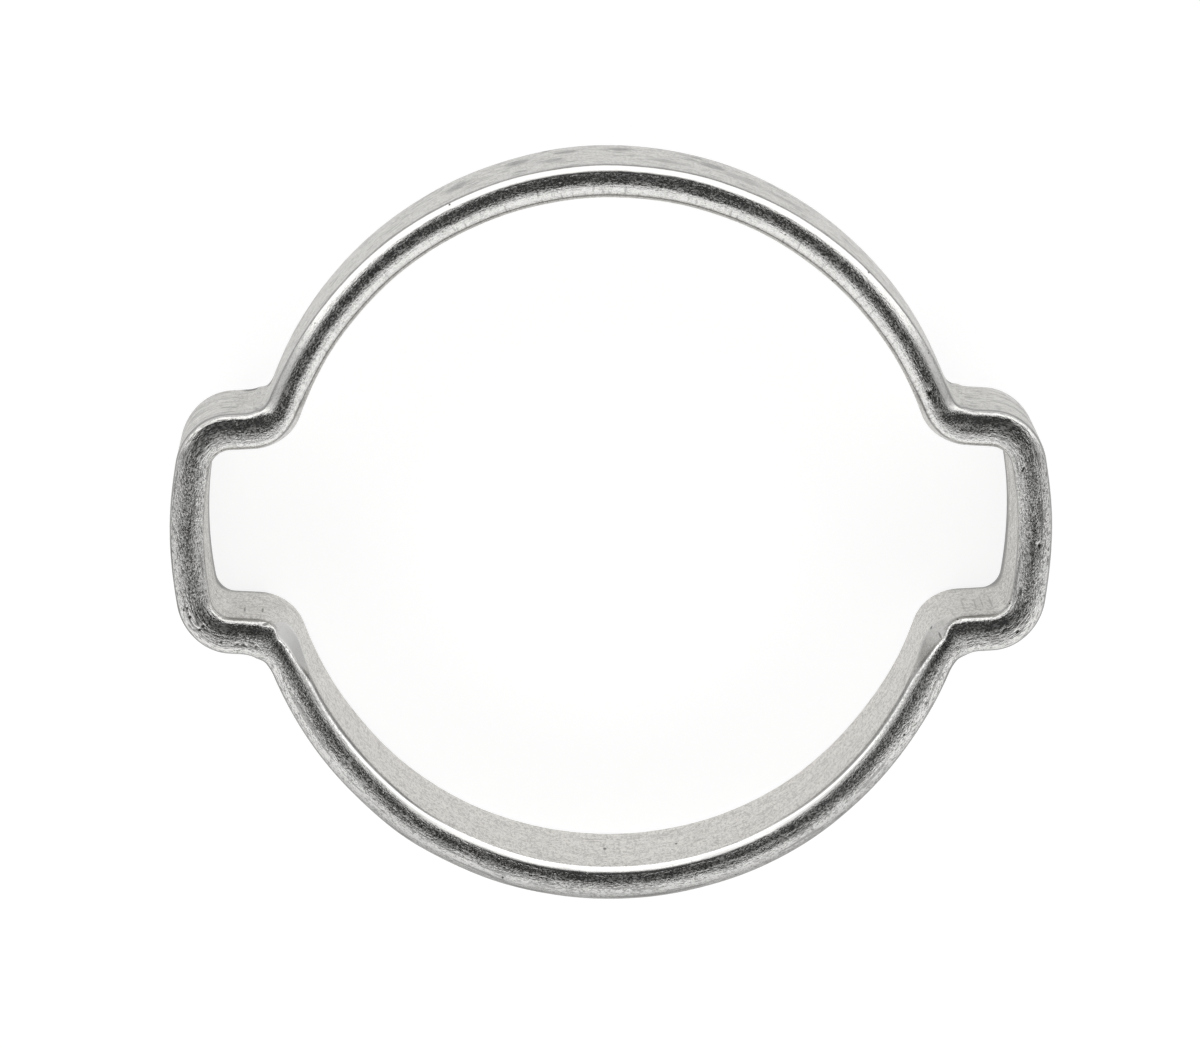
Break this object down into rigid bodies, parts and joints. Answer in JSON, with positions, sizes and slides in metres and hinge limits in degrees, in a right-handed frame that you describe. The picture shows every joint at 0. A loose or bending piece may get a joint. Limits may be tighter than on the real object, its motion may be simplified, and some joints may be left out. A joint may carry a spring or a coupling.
{
  "type": "ear hose clamp",
  "caption": "One-piece steel hose clamp: two half-round bands joined by square ears that are crimped to tighten it on a hose.",
  "frame": {"origin": "centre of the bore, at the level of the rim that the clamp lies on", "axes": "+Z along the bore; +X across the clamp from ear to ear; +Y across the two half bands"},
  "size_m": [0.0494, 0.0416, 0.01],
  "materials": {
    "zinc_plated_steel": "bright zinc plate over tumbled steel, satin, with fine pits and draw marks"
  },
  "bodies": {
    "root": {"clamp_band": "zinc_plated_steel"}
  },
  "joints": []
}
